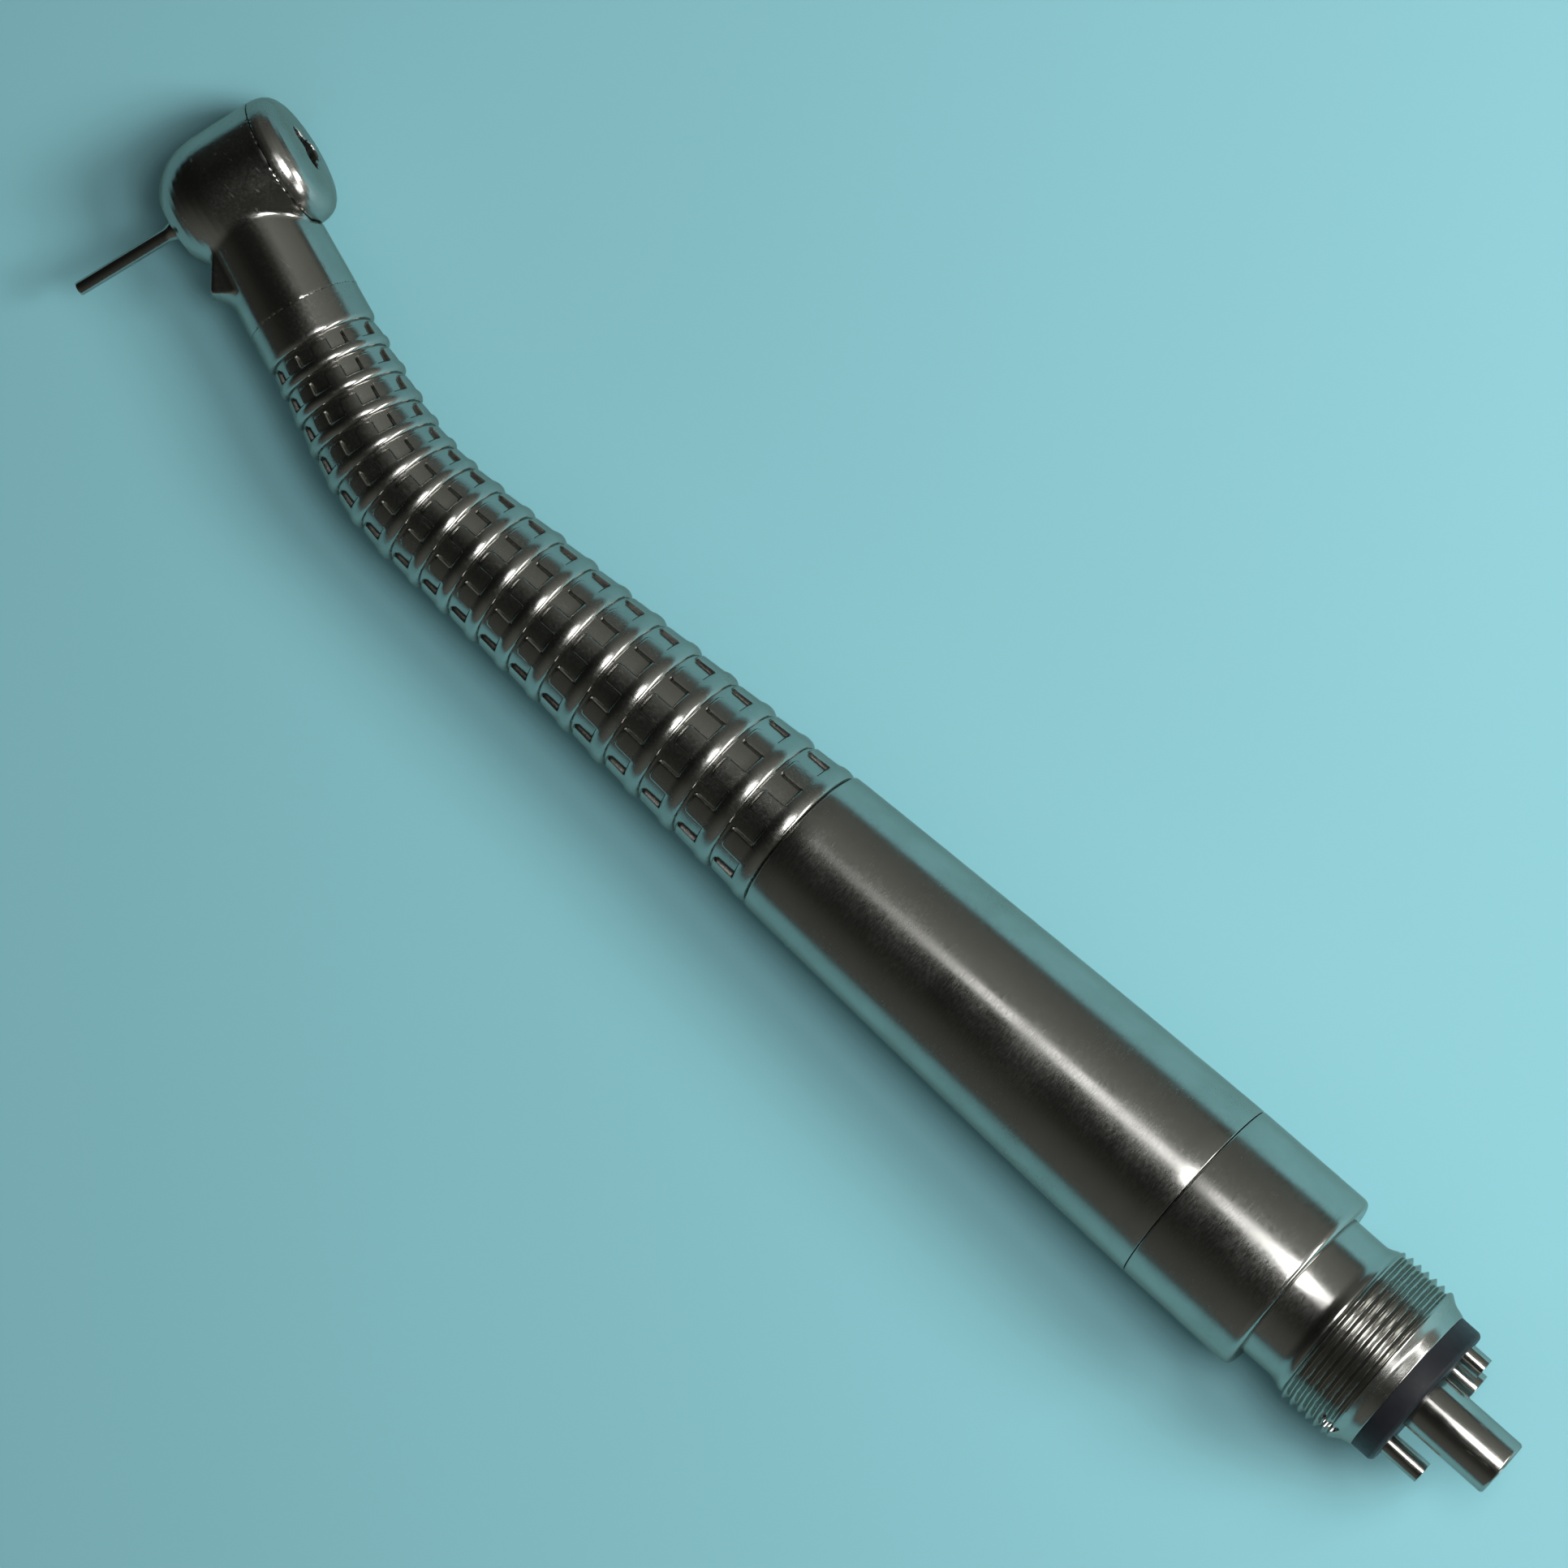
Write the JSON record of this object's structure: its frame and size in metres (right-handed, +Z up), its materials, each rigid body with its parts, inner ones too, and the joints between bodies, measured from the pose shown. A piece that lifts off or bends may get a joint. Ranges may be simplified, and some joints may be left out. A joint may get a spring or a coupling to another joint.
{
  "type": "dental air turbine handpiece",
  "caption": "Angled metal dental handpiece with a ribbed grip, round head holding a plain mandrel, and a threaded tubing connector with air and water tubes.",
  "frame": {"origin": "on the body axis, at the middle of the coupling thread", "axes": "the handpiece lies on its side on a table: +X rearward along the body to the tubing connector, pitched 1.3 degrees so head and ring both touch the table; +Y toward the side the head cap faces; +Z up"},
  "size_m": [0.1315, 0.0223, 0.015],
  "materials": {
    "head_metal": "polished, lightly scuffed",
    "cap_metal": "polished, lightly scuffed",
    "grip_metal": "satin plated",
    "sleeve_metal": "brushed along the body",
    "ring_metal": "brushed round the body",
    "connector_metal": "turned and plated",
    "tube_metal": "drawn tube",
    "gasket_rubber": "matt",
    "seal_rubber": "matt",
    "spring_steel": "ground",
    "bearing_steel": "ground",
    "ball_steel": "polished",
    "cage_polymer": "moulded",
    "spindle_steel": "ground",
    "impeller_metal": "machined",
    "chuck_steel": "ground",
    "bur_steel": "ground"
  },
  "bodies": {
    "handpiece": {"head_housing": "head_metal", "spray_block": "head_metal", "head_cap": "cap_metal", "spring_washer": "spring_steel", "cap_bearing_outer": "bearing_steel", "cap_bearing_o_ring": "seal_rubber", "nose_bearing_outer": "bearing_steel", "nose_bearing_o_ring": "seal_rubber", "grip_shell": "grip_metal", "rear_sleeve": "sleeve_metal", "rear_ring": "ring_metal", "connector_body": "connector_metal", "body_o_ring": "seal_rubber", "gasket": "gasket_rubber", "exhaust_tube": "tube_metal", "drive_air_tube": "tube_metal", "water_tube": "tube_metal", "chip_air_tube": "tube_metal"},
    "rotor": {"spindle": "spindle_steel", "impeller": "impeller_metal", "cap_bearing_inner": "bearing_steel", "nose_bearing_inner": "bearing_steel"},
    "cap_cage": {"cap_bearing_cage": "cage_polymer", "cap_bearing_balls": "ball_steel"},
    "nose_cage": {"nose_bearing_cage": "cage_polymer", "nose_bearing_balls": "ball_steel"},
    "chuck": {"chuck": "chuck_steel"},
    "bur": {"bur": "bur_steel"}
  },
  "joints": [
    {"name": "rotor_spin", "type": "hinge", "parent": "handpiece", "child": "rotor", "pos_m": [-0.11363, 0.00801, -0.00264], "axis": [0.3337, 0.9426, 0.0078], "continuous": true},
    {"name": "cap_cage_roll", "type": "hinge", "parent": "handpiece", "child": "cap_cage", "pos_m": [-0.11363, 0.00801, -0.00264], "axis": [0.3337, 0.9426, 0.0078], "continuous": true},
    {"name": "nose_cage_roll", "type": "hinge", "parent": "handpiece", "child": "nose_cage", "pos_m": [-0.11363, 0.00801, -0.00264], "axis": [0.3337, 0.9426, 0.0078], "continuous": true},
    {"name": "chuck_turn", "type": "hinge", "parent": "rotor", "child": "chuck", "pos_m": [-0.11363, 0.00801, -0.00264], "axis": [0.3337, 0.9426, 0.0078], "range_deg": [0, 180]},
    {"name": "bur_slide", "type": "slide", "parent": "chuck", "child": "bur", "axis": [-0.3337, -0.9426, -0.0078], "range_m": [0, 0.0085]}
  ],
  "couplings": [
    {"joint": "cap_cage_roll", "follows": "rotor_spin", "ratio": 0.39773},
    {"joint": "nose_cage_roll", "follows": "rotor_spin", "ratio": 0.39773}
  ]
}
